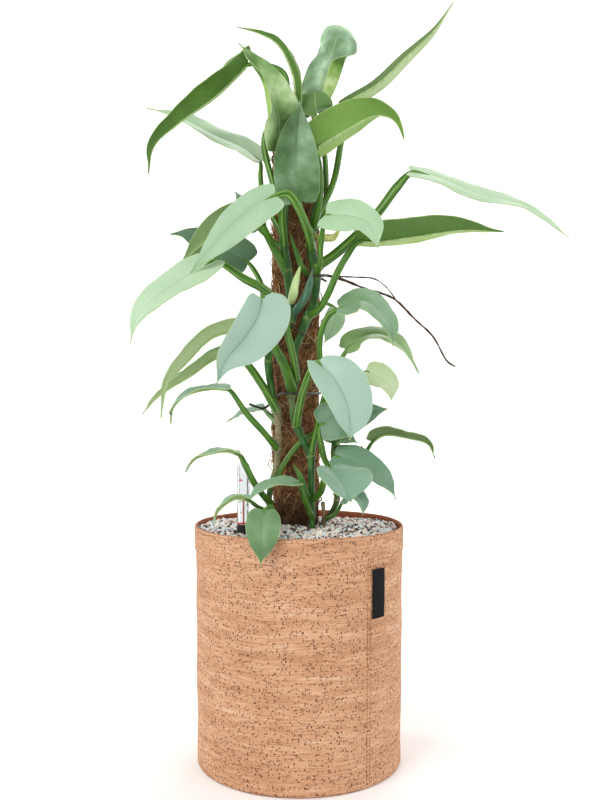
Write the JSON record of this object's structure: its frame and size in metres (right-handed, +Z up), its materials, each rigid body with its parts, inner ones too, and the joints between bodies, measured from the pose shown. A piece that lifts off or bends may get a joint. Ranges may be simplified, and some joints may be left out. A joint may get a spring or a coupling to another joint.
{
  "type": "potted silver queen philodendron",
  "caption": "Climbing house plant with long silver-green leaves on a coir pole, in a tall round fabric planter filled with mineral granules, with a water level gauge.",
  "frame": {"origin": "centre of the planter's flat base, on the surface it stands on", "axes": "+Z up along the planter and the pole, -Y towards the side shown as the front, +X to that view's right"},
  "size_m": [0.4789, 0.253, 0.8735],
  "materials": {
    "cork_fabric": "matte",
    "liner_plastic": "matte",
    "mineral_granules": "matte",
    "coir": "matte",
    "pole_wood": "matte",
    "vine_skin": "satin",
    "leaf_silver": "satin",
    "leaf_blue": "satin",
    "leaf_dark": "satin",
    "leaf_green": "satin",
    "leaf_young": "satin",
    "sheath_skin": "matte",
    "root_bark": "matte",
    "tie_wire": "matte",
    "black_plastic": "satin",
    "clear_plastic": "gloss",
    "red_plastic": "gloss",
    "woven_label": "matte"
  },
  "bodies": {
    "planter": {"planter_cover": "cork_fabric", "inner_liner": "liner_plastic", "vine_left": "vine_skin", "vine_front": "vine_skin", "vine_right": "vine_skin", "coir_pole": "coir", "pole_core": "pole_wood", "granules": "mineral_granules", "gauge_sleeve": "black_plastic", "gauge_tube": "clear_plastic", "label_tag": "woven_label", "leaf_01": "leaf_green", "leaf_02": "leaf_silver", "leaf_03": "leaf_green", "leaf_04": "leaf_silver", "leaf_05": "leaf_blue", "leaf_06": "leaf_green", "leaf_07": "leaf_green", "leaf_08": "leaf_green", "leaf_09": "leaf_dark", "leaf_10": "leaf_silver", "leaf_11": "leaf_dark", "leaf_12": "leaf_silver", "leaf_13": "leaf_silver", "leaf_14": "leaf_silver", "leaf_15": "leaf_blue", "leaf_16": "leaf_green", "leaf_17": "leaf_blue", "leaf_18": "leaf_silver", "leaf_19": "leaf_silver", "leaf_20": "leaf_blue", "leaf_21": "leaf_blue", "leaf_22": "leaf_silver", "leaf_23": "leaf_silver", "leaf_24": "leaf_silver", "leaf_25": "leaf_blue", "leaf_26": "leaf_blue", "leaf_27": "leaf_dark", "leaf_28": "leaf_silver", "leaf_29": "leaf_green", "leaf_30": "leaf_young", "leaf_31": "leaf_dark", "leaf_32": "leaf_dark", "leaf_33": "leaf_silver", "leaf_34": "leaf_blue", "leaf_35": "leaf_silver", "leaf_36": "leaf_silver", "leaf_37": "leaf_silver", "new_leaf_spike": "leaf_young", "sheath_lower": "sheath_skin", "sheath_middle": "vine_skin", "sheath_upper": "sheath_skin", "sheath_right": "sheath_skin", "aerial_root_long": "root_bark", "aerial_root_short": "root_bark", "aerial_root_low": "root_bark", "tie_low": "tie_wire", "tie_high": "tie_wire"},
    "float": {"gauge_float": "red_plastic"}
  },
  "joints": [
    {"name": "float_slide", "type": "slide", "parent": "planter", "child": "float", "axis": [0, 0, 1], "range_m": [-0.025, 0.032]}
  ]
}
